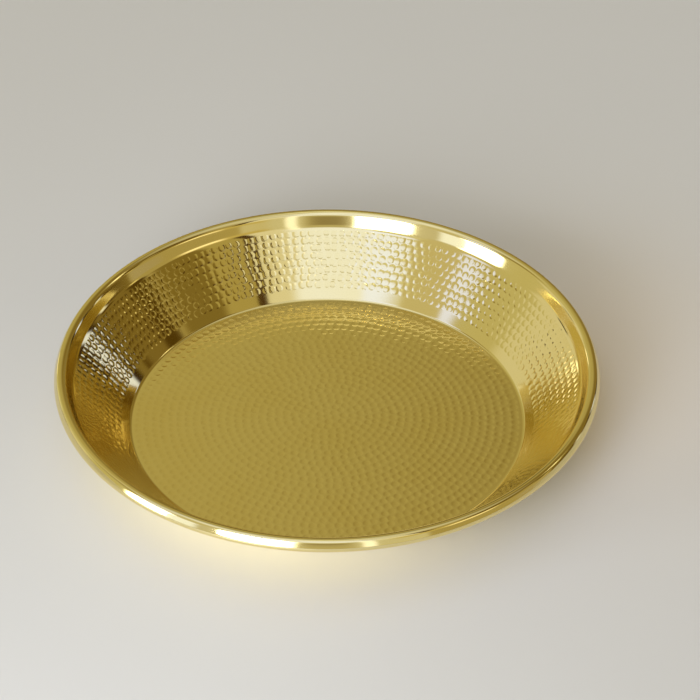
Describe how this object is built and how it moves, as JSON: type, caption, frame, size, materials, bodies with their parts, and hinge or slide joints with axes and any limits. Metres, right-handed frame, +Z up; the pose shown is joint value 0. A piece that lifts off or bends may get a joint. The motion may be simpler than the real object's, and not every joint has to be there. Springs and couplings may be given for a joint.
{
  "type": "dough kneading plate",
  "caption": "Round hammered brass plate with a flat floor, flared wall, plain upper band and wired rolled edge, for kneading dough.",
  "frame": {"origin": "centre of the underside, on the surface that the plate stands on", "axes": "+Z up along the plate's axis; X and Y are alike, because the plate is round"},
  "size_m": [0.34, 0.34, 0.047],
  "materials": {
    "brass_sheet": "hammered and polished to a mirror",
    "steel_wire": "drawn wire, bare"
  },
  "bodies": {
    "root": {"pan": "brass_sheet", "rim_wire": "steel_wire"}
  },
  "joints": []
}
